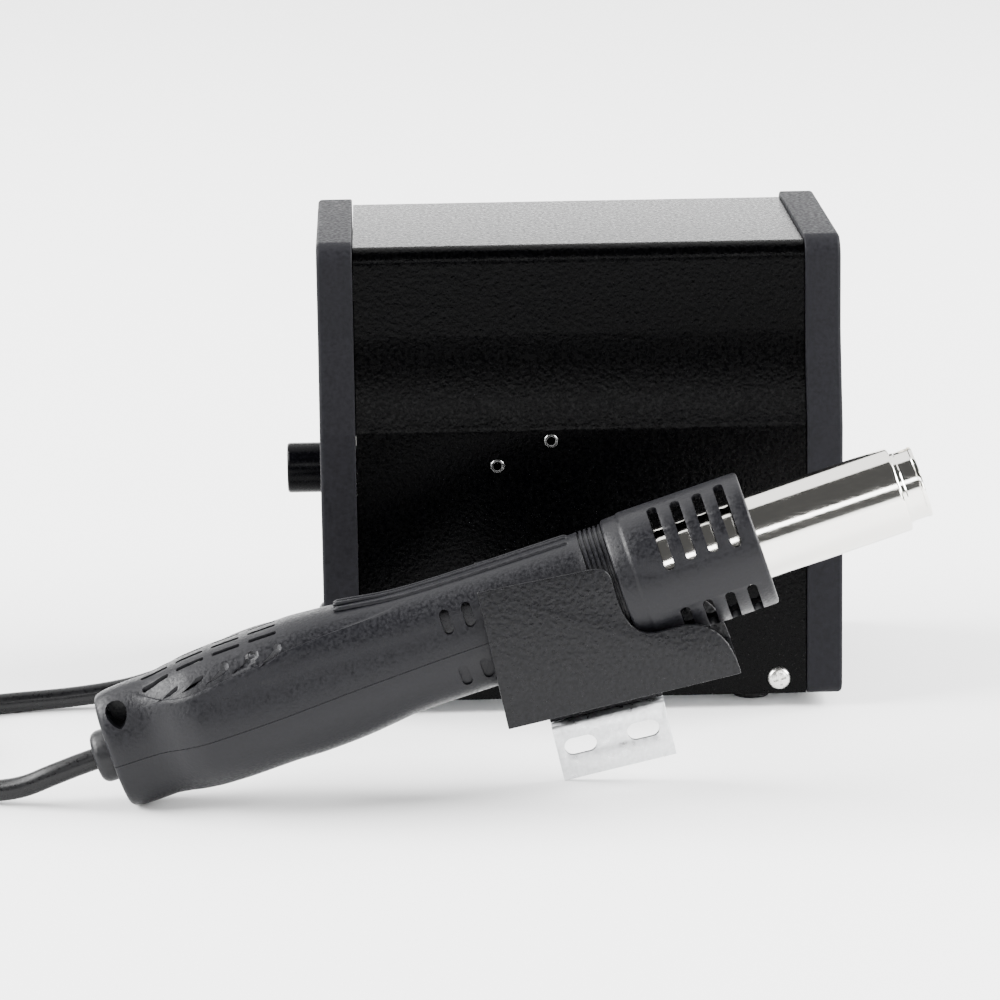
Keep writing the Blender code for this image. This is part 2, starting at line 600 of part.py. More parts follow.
VENTS = (54.8, 61.3, 67.8, 74.4)
outside = [(12.6, -COLLAR_FRONT), (18.7, -COLLAR_FRONT), (19.4, -COLLAR_FRONT - 0.8)]
inside = [(12.6, -COLLAR_FRONT - 1.8), (17.2, -COLLAR_FRONT - 1.8), (17.6, -COLLAR_FRONT - 2.1)]
vent_rows = []
for d in VENTS:
    vent_rows.append(len(outside))
    for y in (-d + 1.45, -d - 1.45):
        outside.append((COLLAR_RADIUS, y))
        inside.append((17.6, y))
outside += [(19.4, -83.8), (18.95, -84.6), (18.6, -COLLAR_BACK)]
inside += [(17.6, -84.0), (17.6, -84.8), (17.6, -COLLAR_BACK)]


def vent_cell(k, i):
    if k not in vent_rows:
        return False
    return abs((i + 0.5) * 10 % 90 - 45) < 33


collar = pierced_tube("vent_collar", outside, inside, 36, vent_cell, HANDLE_LOOK)
gun.append(collar)

tube_line = [(11.4, -8.0), (10.6, -7.2), (10.6, -6.5), (11.6, -6.5), (12.1, -6.8), (12.25, -7.4),
             (12.25, -80.6), (16.9, -80.6), (16.9, -82.0), (11.4, -82.0)]
gun.append(lathe("barrel_tube", tube_line, "Y", (0, 0), CHROME, 32))
ring_line = [(9.0, -0.5), (9.3, 0.0), (9.9, 0.0), (10.25, -0.4), (10.25, -11.8), (9.0, -11.8)]
nozzle = lathe("outlet_ring", ring_line, "Y", (0, 0), CHROME, 32)
bayonet = prism("c", [(-3.4, -3.6), (1.0, -3.6), (1.0, 1.0), (-1.0, 1.0), (-1.0, -1.8), (-3.4, -1.8)], "Z", 7, 13, None)
combine(nozzle, [bayonet])
gun.append(nozzle)
gun.append(lathe("mica_liner", [(10.4, -14), (11.0, -14), (11.0, -79), (10.4, -79)], "Y", (0, 0),
                 ((0.62, 0.55, 0.40), 0.6), 24))
element = [(6.0, -18)]
for k in range(8):
    d = 18.5 + 6.0 * k
    element += [(9.9, -d), (9.9, -d - 3.0), (7.6, -d - 3.4), (7.6, -d - 5.6)]
element += [(6.0, -68)]
gun.append(lathe("heater_element", element, "Y", (0, 0), ((0.35, 0.30, 0.27), 0.4, 0.9), 16))
gun.append(lathe("heater_core", [(1.6, -15), (5.6, -15), (5.6, -76), (1.6, -76)], "Y", (0, 0),
                 ((0.80, 0.77, 0.70), 0.7), 16))
gun.append(lathe("thermocouple", [(0, -9), (0.7, -9.4), (1.2, -10.4), (1.2, -80), (0, -80)], "Y", (0, 0), STEEL, 12))

# blower: bowl, wheel and motor on the gun's upright axis
at = (0, -BLOWER_AT)
bowl = [(3.0, -5.2), (17.0, -5.2), (17.0, 8.0), (12.6, 8.0), (12.6, 6.9), (15.8, 6.9), (15.8, -4.0), (3.0, -4.0)]
blower = lathe("blower_housing", bowl, "Z", at, BLACK, 28)
combine(blower, [box("c", (-9, -BLOWER_AT + 10, -3.4), (9, -BLOWER_AT + 20, 6.2), None)])
gun.append(blower)
blades = []
for k in range(22):
    a = 2 * math.pi * (k // 2) / 11
    for r, off in (((6.2, -0.16), (14.0, 0.02)) if k % 2 == 0 else ((14.0, 0.10), (6.2, 0.16))):
        blades.append((r * math.cos(a + off), -BLOWER_AT + r * math.sin(a + off)))
wheel = prism("impeller", blades, "Z", -2.5, 5.6, ((0.62, 0.62, 0.60), 0.5), 20)
disc = lathe("c", [(0, -3.0), (14.2, -3.0), (14.2, -2.0), (0, -2.0)], "Z", at, None, 33)
combine(wheel, [disc], "UNION", 25.0)
combine(wheel, [lathe("c", [(0, -8), (1.4, -8), (1.4, 3.4), (0, 3.4)], "Z", at, None, 12)], smooth=25.0)
for v in wheel.data.vertices:
    v.co.y += BLOWER_AT * MM
gun.append(wheel)
motor = [(0, -13.0), (8.4, -13.0), (8.8, -12.6), (8.8, -6.4), (8.6, -5.9), (2.6, -5.9), (2.6, -4.6), (1.1, -4.6),
         (1.1, 3.0), (0, 3.0)]
gun.append(lathe("blower_motor", motor, "Z", at, STEEL, 18))
board = box("handle_board", (-9, -172, -9.6), (9, -118, -8.0), GREEN)
gun.append(board)

boot = [(3.5, -246.0), (5.9, -246.0), (7.0, -245.4), (7.6, -244.3), (7.6, -241.1), (4.6, -241.1), (4.6, -226.7),
        (6.3, -226.7), (6.3, -225.0), (3.5, -225.0)]
gun.append(lathe("gun_gland", boot, "Y", (0, 1.5), ((0.03, 0.03, 0.03), 0.6), 24))

frame_turn = Matrix.Rotation(GUN_TILT, 4, "X")
put(gun, GUN_TIP, GUN_TILT)
wheel.location = (GUN_TIP + frame_turn @ Vector((0, -BLOWER_AT, 0))) * MM

# ---------------------------------------------------------------------- cord
CORD_LOOK = ((0.015, 0.015, 0.016), 0.55)


def cord_tube(name, points):
    """Round cord along smoothed points."""
    dense = []
    n = len(points)
    for k in range(n - 1):
        p = [Vector(points[min(max(k + o, 0), n - 1)]) for o in (-1, 0, 1, 2)]
        steps = max(1, round((p[2] - p[1]).length / 6))
        for i in range(steps):
            t = i / steps
            dense.append(0.5 * (2 * p[1] + (p[2] - p[0]) * t + (2 * p[0] - 5 * p[1] + 4 * p[2] - p[3]) * t * t
                                + (3 * p[1] - p[0] - 3 * p[2] + p[3]) * t ** 3))
    dense.append(Vector(points[-1]))
    curve = bpy.data.curves.new(name, "CURVE")
    curve.dimensions = "3D"
    curve.bevel_depth = CORD / 2 * MM
    curve.bevel_resolution = 2
    curve.use_fill_caps = True
    spline = curve.splines.new("POLY")
    spline.points.add(len(dense) - 1)
    for point, place_at in zip(spline.points, dense):
        point.co = (*(place_at * MM), 1.0)
    curve.materials.append(material(name + "_mat", *CORD_LOOK))
    obj = bpy.data.objects.new(name, curve)
    bpy.context.scene.collection.objects.link(obj)
    return obj


exit_gun = GUN_TIP + frame_turn @ Vector((0, -246.3, 1.5))
way = frame_turn @ Vector((0, -1, 0))
R0 = CORD / 2 + 0.05
gun_lead = [tuple(exit_gun), tuple(exit_gun + way * 4), (140.5, -155.0, 9.2), (139.0, -163.5, 5.5),
            (136.8, -172.0, 3.6), (133.6, -182.0, R0), (129.8, -194.0, R0), (126.6, -205.0, R0)]
cord_tube("cord_gun_lead", gun_lead)
station_lead = [(GLAND_X, -70.0, GLAND_Z), (GLAND_X, -84.0, GLAND_Z), (35.0, -96.0, 22.2), (35.2, -107.5, 18.4),
                (35.4, -119.0, 13.3), (35.8, -130.0, 8.9), (36.3, -141.0, 6.0), (36.9, -153.0, 4.1),
                (37.6, -166.0, 3.3), (39.2, -179.0, R0), (42.2, -190.0, R0), (46.6, -201.0, R0), (48.8, -208.0, R0)]
cord_tube("cord_station_lead", station_lead)
LIFT = 1.3
SECTION = 6.2
section = []
for step in range(12):
    a = math.radians(30 * step)
    reach = SECTION * (1.0, 1.12, 1.12)[step % 3]
    section.append((COIL_RADIUS + reach * math.cos(a), LIFT + SECTION + reach * math.sin(a)))
lathe("cord_coil", section, "Z", (COIL_X, COIL_Y), CORD_LOOK, 36)
rings = []
for reach, x in ((6.55, -2.5), (6.55, 2.5), (7.35, 2.5), (7.35, -2.5)):
    line = rounded(COIL_Y - COIL_RADIUS, LIFT + SECTION, 2 * reach, 2 * reach, reach - 4.0, 4)
    rings.append([(COIL_X + x, y, z) for y, z in line])
loft("cord_tie", rings, RUBBER, cycle=True)

# ------------------------------------------------- origin under the middle of the set
CORDS = ("cord_gun_lead", "cord_station_lead", "cord_coil", "cord_tie")
bpy.context.view_layer.update()
low, high = Vector((9, 9, 9)), Vector((-9, -9, -9))
for obj in bpy.data.objects:
    if obj.name in CORDS:
        continue
    for vertex in obj.data.vertices:
        at_world = obj.matrix_world @ vertex.co
        low = Vector(map(min, low, at_world))
        high = Vector(map(max, high, at_world))
shift = Vector((-(low.x + high.x) / 2, -(low.y + high.y) / 2, -low.z))
for obj in bpy.data.objects:
    obj.location += shift
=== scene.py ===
import json
import math

import bmesh
import bpy
from mathutils import Matrix, Vector


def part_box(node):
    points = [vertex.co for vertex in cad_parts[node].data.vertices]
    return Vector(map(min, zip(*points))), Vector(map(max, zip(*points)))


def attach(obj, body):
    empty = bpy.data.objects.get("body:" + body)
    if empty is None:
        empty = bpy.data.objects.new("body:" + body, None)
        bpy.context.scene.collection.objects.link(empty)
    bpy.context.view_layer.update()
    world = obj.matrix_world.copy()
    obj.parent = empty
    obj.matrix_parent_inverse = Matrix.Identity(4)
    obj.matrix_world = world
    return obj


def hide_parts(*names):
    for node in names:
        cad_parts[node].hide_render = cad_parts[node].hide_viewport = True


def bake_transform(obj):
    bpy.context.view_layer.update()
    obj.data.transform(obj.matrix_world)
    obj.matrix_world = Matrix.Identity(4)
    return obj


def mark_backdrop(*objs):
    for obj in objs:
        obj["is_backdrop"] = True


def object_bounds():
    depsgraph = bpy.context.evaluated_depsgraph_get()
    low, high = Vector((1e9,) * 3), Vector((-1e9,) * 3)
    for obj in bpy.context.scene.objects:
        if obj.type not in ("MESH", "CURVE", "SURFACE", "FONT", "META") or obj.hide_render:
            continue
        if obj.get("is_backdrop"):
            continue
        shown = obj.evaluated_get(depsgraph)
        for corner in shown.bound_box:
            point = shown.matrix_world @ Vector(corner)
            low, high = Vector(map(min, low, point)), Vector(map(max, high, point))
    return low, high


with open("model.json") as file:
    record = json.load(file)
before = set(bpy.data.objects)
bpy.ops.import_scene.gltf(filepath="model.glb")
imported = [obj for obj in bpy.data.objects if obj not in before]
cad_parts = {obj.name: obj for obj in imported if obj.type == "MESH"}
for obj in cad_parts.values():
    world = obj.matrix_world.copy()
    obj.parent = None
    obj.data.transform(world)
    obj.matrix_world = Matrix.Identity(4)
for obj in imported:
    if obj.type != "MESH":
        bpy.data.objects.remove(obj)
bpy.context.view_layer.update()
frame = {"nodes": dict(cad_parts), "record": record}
MM = 0.001
RECORD = frame["record"]
MOUNT = {m["name"]: m for m in RECORD["mounts"]}
JOINT = {j["name"]: j for j in RECORD["behaviour"]["joints"]}

# ------------------------------------------------------------------ the three frames
lo_f, hi_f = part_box("front_bezel")
hi_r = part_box("rear_bezel")[1]
UNIT = Vector(((lo_f.x + hi_f.x) / 2, (lo_f.y + hi_r.y) / 2, 0.0))
tip_at, tip_axis = Vector(MOUNT["nozzle_end"]["pos_m"]), Vector(MOUNT["nozzle_end"]["axis"])
GUN_TILT = math.atan2(tip_axis.z, tip_axis.y)
MOUTH_MID = 9.6      # the mount sits on the wall of the outlet ring, this far from its axis
TIP = tip_at - Vector((MOUTH_MID * MM, 0, 0))
lift = Vector(JOINT["gun_lift"]["axis"])
CRADLE_TILT = math.atan2(-lift.y, lift.z)
turn_c = Matrix.Rotation(CRADLE_TILT, 3, "X")
CORNER = Vector(MOUNT["tab_back_face"]["pos_m"]) - turn_c @ Vector((-15.6, 27.15, -18.5)) * MM
turn_g = Matrix.Rotation(GUN_TILT, 3, "X")


def unit(p):
    """Millimetres from the middle of the unit's footprint, on the floor."""
    return UNIT + Vector(p) * MM


def gun(p):
    """Millimetres from the mouth of the gun: y runs forward along the barrel, z is up from it."""
    return TIP + turn_g @ Vector(p) * MM


def cradle(p):
    """Millimetres from the rear lower corner of the cradle's channel, tilted with it."""
    return CORNER + turn_c @ Vector(p) * MM


# ------------------------------------------------------------------ camera
CAMERA_AT = (1387.9, -60.0, 370.0)
YAW, PITCH, ROLL = math.radians(-1.511), math.radians(12.802), math.radians(-0.832)
SENSOR, FOCAL = 36.0, 164.07


def add_camera():
    data = bpy.data.cameras.new("camera")
    cam = bpy.data.objects.new("camera", data)
    bpy.context.scene.collection.objects.link(cam)
    ahead = Vector((-math.cos(PITCH) * math.cos(YAW), -math.cos(PITCH) * math.sin(YAW), -math.sin(PITCH)))
    right = ahead.cross(Vector((0, 0, 1))).normalized()
    up = right.cross(ahead)
    side = math.cos(ROLL) * right + math.sin(ROLL) * up
    top = -math.sin(ROLL) * right + math.cos(ROLL) * up
    cam.matrix_world = Matrix((side, top, -ahead)).transposed().to_4x4()
    cam.location = unit(CAMERA_AT)
    data.sensor_width = SENSOR
    data.lens = FOCAL
    data.clip_start = 0.05
    data.clip_end = 50.0
    bpy.context.scene.camera = cam


add_camera()


# ------------------------------------------------------------------ materials
class Look:
    def __init__(self, name, base, rough, metal=0.0):
        self.mat = bpy.data.materials.new(name)
        self.mat.use_nodes = True
        self.nodes = self.mat.node_tree.nodes
        self.links = self.mat.node_tree.links
        self.shader = self.nodes["Principled BSDF"]
        self.shader.inputs["Base Color"].default_value = (*base, 1.0)
        self.shader.inputs["Roughness"].default_value = rough
        self.shader.inputs["Metallic"].default_value = metal
        self.base = base
        self.rough = rough
        self.height = None
        self.where = self.nodes.new("ShaderNodeTexCoord").outputs["Object"]

    def noise(self, size, detail=2.0, stretch=None):
        """Noise whose grain is this many millimetres."""
        where = self.where
        if stretch:
            mapping = self.nodes.new("ShaderNodeMapping")
            mapping.inputs["Scale"].default_value = stretch
            self.links.new(where, mapping.inputs["Vector"])
            where = mapping.outputs["Vector"]
        tex = self.nodes.new("ShaderNodeTexNoise")
        tex.inputs["Scale"].default_value = 1000.0 / size
        tex.inputs["Detail"].default_value = detail
        self.links.new(where, tex.inputs["Vector"])
        return tex.outputs["Fac"]

    def ramp(self, fac, low, high):
        node = self.nodes.new("ShaderNodeMapRange")
        node.inputs["From Min"].default_value = 0.3
        node.inputs["From Max"].default_value = 0.7
        node.inputs["To Min"].default_value = low
        node.inputs["To Max"].default_value = high
        self.links.new(fac, node.inputs["Value"])
        return node.outputs["Result"]

    def bump(self, fac, depth_mm, strength=1.0):
        node = self.nodes.new("ShaderNodeBump")
        node.inputs["Strength"].default_value = strength
        node.inputs["Distance"].default_value = depth_mm * MM
        self.links.new(fac, node.inputs["Height"])
        if self.height is not None:
            self.links.new(self.height, node.inputs["Normal"])
        self.height = node.outputs["Normal"]
        self.links.new(self.height, self.shader.inputs["Normal"])
        return self

    def vary_rough(self, fac, spread):
        value = self.ramp(fac, self.rough - spread, self.rough + spread)
        self.links.new(value, self.shader.inputs["Roughness"])
        return self

    def vary_colour(self, fac, spread):
        mix = self.nodes.new("ShaderNodeMix")
        mix.data_type = "RGBA"
        self.links.new(self.ramp(fac, 0.0, 1.0), mix.inputs["Factor"])
        for socket in mix.inputs:
            if socket.type == "RGBA":
                k = 1 - spread if socket.name == "A" else 1 + spread
                socket.default_value = (*[min(1.0, c * k) for c in self.base], 1.0)
        out = [o for o in mix.outputs if o.type == "RGBA"][0]
        self.links.new(out, self.shader.inputs["Base Color"])
        return self

    def set(self, **values):
        for key, value in values.items():
            self.shader.inputs[key.replace("_", " ")].default_value = value
        return self


def plastic(name, base, rough, grain=0.35, depth=0.02, gloss=0.3):
    """Moulded plastic: a fine grain in its height, sheen and colour."""
    look = Look(name, base, rough).set(Specular_IOR_Level=gloss)
    fine = look.noise(grain)
    look.bump(fine, depth)
    look.vary_rough(fine, min(0.14, 0.3 * rough))
    look.vary_colour(fine, 0.25)
    return look.mat


def powder(name, base, rough, depth=0.035, gloss=0.05):
    """Powder coat: a coarser orange-peel grain, about a millimetre across."""
    look = Look(name, base, rough).set(Specular_IOR_Level=gloss)
    look.bump(look.noise(1.3, 2.0), depth * 4)
    look.vary_rough(look.noise(1.0, 2.0), 0.10)
    look.vary_colour(look.noise(1.1, 2.0), 0.6)
    return look.mat


def brushed(name, base, rough, stretch):
    """Bare metal with fine lines, drawn out along the axis with the lowest stretch."""
    look = Look(name, base, rough, 1.0)
    lines = look.noise(0.5, 3.0, stretch)
    look.bump(lines, 0.004)
    look.vary_rough(lines, 0.08)
    return look.mat


MAT = {
    "bezel": plastic("bezel", (0.0078, 0.0078, 0.0094), 0.58, 1.1, 0.10, 0.06),
    "powder": powder("powder", (0.0001, 0.0001, 0.0002), 0.27, 0.04, 0.05),
    "cradle": powder("cradle_coat", (0.0030, 0.0030, 0.0038), 0.34, 0.07, 0.16),
    "handle": plastic("handle", (0.0050, 0.0050, 0.0064), 0.42, 0.9, 0.08, 0.19),
    "panel": plastic("panel", (0.004, 0.004, 0.0045), 0.55, 0.35, 0.02, 0.1),
    "knob": plastic("knob", (0.001, 0.001, 0.0015), 0.25, 0.8, 0.004, 0.05),
    "button": plastic("button", (0.22, 0.22, 0.23), 0.45),
    "gloss": plastic("gloss_black", (0.012, 0.012, 0.012), 0.18, 1.0, 0.003),
    "rubber": plastic("rubber", (0.018, 0.018, 0.018), 0.75),
    "cord": plastic("cord", (0.003, 0.003, 0.0035), 0.34, 0.9, 0.01, 0.22),
    "boot": plastic("boot", (0.007, 0.007, 0.008), 0.4, 0.5, 0.02, 0.2),
    "steel": brushed("steel", (0.66, 0.65, 0.63), 0.28, (1, 1, 1)),
    # grey painted shade for the insides seen through the gun's vents
    "liner": plastic("liner", (0.10, 0.10, 0.105), 0.35),
    "insert": brushed("insert", (0.16, 0.16, 0.16), 0.25, (1, 1, 1)),
    "mica": plastic("mica", (0.62, 0.55, 0.40), 0.5, 1.5, 0.05),
    "ceramic": plastic("ceramic", (0.80, 0.77, 0.70), 0.7),
    "element": brushed("element", (0.35, 0.30, 0.27), 0.4, (1, 1, 1)),
    "board": plastic("board", (0.015, 0.10, 0.04), 0.35, 2.0, 0.01),
    "core": brushed("core", (0.30, 0.30, 0.31), 0.5, (1, 12, 1)),
    "winding": plastic("winding", (0.55, 0.42, 0.10), 0.4, 1.2, 0.02),
    "alu": brushed("alu", (0.75, 0.75, 0.76), 0.32, (1, 1, 12)),
    "sleeve": plastic("sleeve", (0.03, 0.05, 0.16), 0.35),
    "wheel": plastic("wheel", (0.62, 0.62, 0.60), 0.5),
}
zinc = Look("zinc", (0.72, 0.73, 0.74), 0.36, 1.0)
spangle = zinc.noise(2.6, 2.0)
zinc.vary_rough(spangle, 0.12)
zinc.vary_colour(zinc.noise(1.2, 3.0), 0.10)
zinc.bump(zinc.noise(0.8, 3.0), 0.012)
MAT["zinc"] = zinc.mat
chrome = Look("chrome", (0.86, 0.84, 0.79), 0.10, 1.0)
scratch = chrome.noise(0.5, 4.0, (1.0, 0.08, 1.0))
chrome.vary_rough(scratch, 0.05)
chrome.bump(scratch, 0.002)
MAT["chrome"] = chrome.mat
window = Look("window", (0.05, 0.006, 0.008), 0.06)
window.vary_rough(window.noise(14.0), 0.02)
MAT["window"] = window.mat


# ------------------------------------------------------------------ mesh helpers
def build(name, verts, faces, at, mat, smooth=30.0):
    mesh = bpy.data.meshes.new(name)
    mesh.from_pydata([tuple(at(v)) for v in verts], [], faces)
    work = bmesh.new()
    work.from_mesh(mesh)
    bmesh.ops.remove_doubles(work, verts=work.verts, dist=1e-7)
    bmesh.ops.recalc_face_normals(work, faces=work.faces)
    work.to_mesh(mesh)
    work.free()
    obj = bpy.data.objects.new(name, mesh)
    bpy.context.scene.collection.objects.link(obj)
    if mat:
        mesh.materials.append(MAT[mat])
    shade(mesh, smooth)
    return obj


def shade(mesh, limit):
    mesh.shade_smooth()
    mesh.set_sharp_from_angle(angle=math.radians(limit))


def put3(axis, flat, depth):
    a, b = flat
    return {"X": (depth, a, b), "Y": (a, depth, b), "Z": (a, b, depth)}[axis]


def loft(name, rings, at, mat, cycle=False, smooth=30.0):
    """Skin over rings of points; the ends are capped, or joined when it is a cycle."""
    n = len(rings[0])
    verts = [p for ring in rings for p in ring]
    faces = []
    for k in range(len(rings) if cycle else len(rings) - 1):
        a, b = k * n, ((k + 1) % len(rings)) * n
        faces += [(a + i, a + (i + 1) % n, b + (i + 1) % n, b + i) for i in range(n)]
    if not cycle:
        faces.append(tuple(range(n)))
        faces.append(tuple(range(len(verts) - 1, len(verts) - n - 1, -1)))
    return build(name, verts, faces, at, mat, smooth)


def prism(name, outline, axis, lo, hi, at, mat, smooth=30.0):
    """A flat outline, drawn across this axis, run from lo to hi."""
    rings = [[put3(axis, p, h) for p in outline] for h in (lo, hi)]
    return loft(name, rings, at, mat, False, smooth)


def lathe(name, profile, axis, centre, at, mat, steps=64, smooth=30.0):
    """A closed (radius, height) profile turned about this axis."""
    rings = []
    for radius, height in profile:
        rings.append([put3(axis, p, height) for p in circle(*centre, max(radius, 1e-5), steps)])
    return loft(name, rings, at, mat, True, smooth)


def box(name, lo, hi, at, mat):
    (x0, y0, z0), (x1, y1, z1) = lo, hi
    return prism(name, [(x0, y0), (x1, y0), (x1, y1), (x0, y1)], "Z", z0, z1, at, mat)


def circle(cx, cy, r, steps=32):
    return [(cx + r * math.cos(2 * math.pi * i / steps), cy + r * math.sin(2 * math.pi * i / steps))
            for i in range(steps)]


def rounded(cx, cy, wide, high, radius, steps=6):
    pts = []
    for sx, sy, start in ((1, -1, -90), (1, 1, 0), (-1, 1, 90), (-1, -1, 180)):
        for i in range(steps + 1):
            a = math.radians(start + 90 * i / steps)
            pts.append((cx + sx * (wide / 2 - radius) + radius * math.cos(a),
                        cy + sy * (high / 2 - radius) + radius * math.sin(a)))
    return pts


def soften(obj, width, segments=2, angle=35.0, smooth=35.0):
    """Round the sharp edges by this many millimetres."""
    mod = obj.modifiers.new("soften", "BEVEL")
    mod.width = width * MM
    mod.segments = segments
    mod.limit_method = "ANGLE"
    mod.angle_limit = math.radians(angle)
    return bake(obj, smooth)


def bake(obj, smooth=30.0):
    bpy.context.view_layer.update()
    graph = bpy.context.evaluated_depsgraph_get()
    mesh = bpy.data.meshes.new_from_object(obj.evaluated_get(graph))
    obj.modifiers.clear()
    obj.data = mesh
    shade(mesh, smooth)
    return obj


def combine(target, tools, how="DIFFERENCE", smooth=30.0):
    for tool in tools:
        mod = target.modifiers.new("step", "BOOLEAN")
        mod.operation = how
        mod.solver = "EXACT"
        mod.object = tool
    bake(target, smooth)
    for tool in tools:
        bpy.data.objects.remove(tool, do_unlink=True)
    return target


def merged(parts):
    mesh = bpy.data.meshes.new("cutters")
    work = bmesh.new()
    for part in parts:
        work.from_mesh(part.data)
        bpy.data.objects.remove(part, do_unlink=True)
    work.to_mesh(mesh)
    work.free()
    obj = bpy.data.objects.new("cutters", mesh)
    bpy.context.scene.collection.objects.link(obj)
    return obj


def own(obj, body, *nodes, slot=None):
    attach(obj, body)
    if nodes:
        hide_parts(*nodes)
    return obj


def table_at(table, d, k=1):
    """Smooth value of column k of a table at distance d."""
    if d <= table[0][0]:
        return table[0][k]
    if d >= table[-1][0]:
        return table[-1][k]
    i = max(j for j in range(len(table) - 1) if table[j][0] <= d)
    a, b = table[i], table[i + 1]
    span = b[0] - a[0]
    slope = (b[k] - a[k]) / span

    def end(j):
        if j <= 0 or j >= len(table) - 1:
            return slope
        left = (table[j][k] - table[j - 1][k]) / (table[j][0] - table[j - 1][0])
        right = (table[j + 1][k] - table[j][k]) / (table[j + 1][0] - table[j][0])
        if left * right <= 0:
            return 0.0
        return 2 * left * right / (left + right)

    t = (d - a[0]) / span
    h = t * t * (3 - 2 * t)
    return (a[k] + (b[k] - a[k]) * h + span * (end(i) * t * (1 - t) ** 2 - end(i + 1) * t * t * (1 - t)))


# ------------------------------------------------------------------ cord
CORD = 6.2
COIL = (89.0, -226.0)
COIL_R = 31.5
COIL_TURNS, TURN_POINTS = 3.5, 24
# where each turn lies in the coil: out from its mean radius, and height
TURN_PLACES = ((3.15, 4.3), (-3.15, 4.3), (-3.15, 10.6), (3.15, 10.6), (3.15, 10.6))


def cord_route():
    """Out of the gun's tail, round the tied coil, and up into the gland on the front panel."""
    start = gun((0, -238.6, 1.5))
    way = turn_g @ Vector((0, -1, 0))
    lead = [start, start + way * 6 * MM, start + way * 12 * MM]
    lead += [unit(p) for p in (
        (140.5, -155.5, 9.0), (139.2, -163.5, 5.6), (137.0, -172.0, 3.8), (133.8, -183.0, 3.2),
        (129.9, -195.0, 3.2), (126.2, -207.0, 3.5), (124.2, -217.0, 3.9),
    )]
    turns = []
    for i in range(int(COIL_TURNS * TURN_POINTS) + 1):
        s = i / TURN_POINTS
        k = int(s + 1e-9)
        t = min(1.0, max(0.0, (s - k - 5 / 6) * 6))
        t = t * t * (3 - 2 * t)
        if k >= 3:
            t = 0
        a, b = TURN_PLACES[k], TURN_PLACES[k + 1]
        r, z = COIL_R + a[0] + (b[0] - a[0]) * t, a[1] + (b[1] - a[1]) * t
        ang = -2 * math.pi * s
        turns.append(unit((COIL[0] + r * math.cos(ang), COIL[1] + r * math.sin(ang), z)))
    tail = [unit(p) for p in (
        (53.6, -214.5, 8.9), (51.2, -204.0, 5.9), (47.6, -194.5, 3.9), (43.0, -184.5, 3.2),
        (39.4, -173.0, 3.2), (37.4, -160.0, 3.6), (36.6, -147.5, 4.8), (36.1, -136.0, 6.9),
        (35.6, -125.0, 10.5), (35.3, -114.0, 15.4), (35.1, -103.5, 20.0), (35.0, -94.0, 22.8),
        (35.0, -84.0, 24.0), (35.0, -72.0, 24.0),
    )]
    return lead + turns + tail


def smooth_route(points, step):
    """A smooth curve through the points, with a point about every step millimetres."""
    dense = []
    n = len(points)
    for k in range(n - 1):
        p = [points[min(max(k + o, 0), n - 1)] for o in (-1, 0, 1, 2)]
        count = max(1, round((p[2] - p[1]).length / (step * MM)))
        for i in range(count):
            t = i / count
            dense.append(0.5 * (2 * p[1] + (p[2] - p[0]) * t + (2 * p[0] - 5 * p[1] + 4 * p[2] - p[3]) * t * t
                                + (3 * p[1] - p[0] - 3 * p[2] + p[3]) * t ** 3))
    dense.append(points[-1])
    return dense


def sweep(name, route, radius, mat, sides=20):
    rings = []
    normal = Vector((0, 0, 1))
    for i, p in enumerate(route):
        ahead = (route[min(i + 1, len(route) - 1)] - route[max(i - 1, 0)]).normalized()
        normal = (normal - ahead * normal.dot(ahead)).normalized()
        cross = ahead.cross(normal)
        rings.append([p + (normal * a + cross * b) * radius * MM for a, b in circle(0, 0, 1, sides)])
    return loft(name, rings, lambda v: v, mat, False, 50.0)


route = smooth_route(cord_route(), 2.5)
cord = sweep("gun_cord", route, CORD / 2, "cord")
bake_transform(cord)
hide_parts("cord_gun_lead", "cord_coil", "cord_station_lead")


# ------------------------------------------------------------------ control unit
def case_outline(inset, bow=1.0):
    """The unit's front outline, moved in by inset; bow rounds the flare between its foot and its top."""
    low, top = 54.0 - inset, 47.0 - inset
    foot, roof = 4.0 + inset, 143.9 - inset
    r_foot, r_top = max(4.0 - inset, 0.6), max(7.0 - inset, 0.6)
    half = []
    for i in range(8):
        a = math.radians(-90 + 90 * i / 7)
        half.append((low - r_foot + r_foot * math.cos(a), foot + r_foot + r_foot * math.sin(a)))
    z0, z1 = 87.7 - 0.25 * inset, 116.1 - 0.08 * inset
    for i in range(25):
        t = 1 - i / 24
        half.append((top + (low - top) * (t + 0.7 * bow * (t * t - t)), z1 - (z1 - z0) * t))
    for i in range(19):
        a = math.radians(5 * i)
        half.append((top - r_top + r_top * math.cos(a), roof - r_top + r_top * math.sin(a)))
    return half + [(-x, z) for x, z in reversed(half)]


FRONT, REAR, DEPTH = -78.5, 78.5, 10.7
FRONT_PANEL, REAR_PANEL = -75.5, 74.9


def bezel(name, outer, inner, step_at):
    """An end frame between two y planes, hollow inside, with a ledge for its panel."""
    way = 1 if inner > outer else -1
    loops = []
    for k in range(6):
        a = math.radians(18 * k)
        loops.append((1.3 * (1 - math.sin(a)), outer + way * 1.3 * (1 - math.cos(a))))
    for k in range(4):
        a = math.radians(30 * k)
        loops.append((0.5 * (1 - math.cos(a)), inner - way * 0.5 * (1 - math.sin(a))))
    loops += [(8.0, inner), (8.0, step_at), (5.0, step_at), (5.0, outer + way * 0.7), (4.4, outer)]
    rings = [[(x, y, z) for x, z in case_outline(i, 0.15)] for i, y in loops]
    return loft(name, rings, unit, "bezel", cycle=True, smooth=11.0)


own(bezel("bezel_front", FRONT, FRONT + DEPTH, FRONT_PANEL + 2.3), "station", "front_bezel")
own(bezel("bezel_rear", REAR, REAR - DEPTH, REAR_PANEL - 2.3), "station", "rear_bezel")

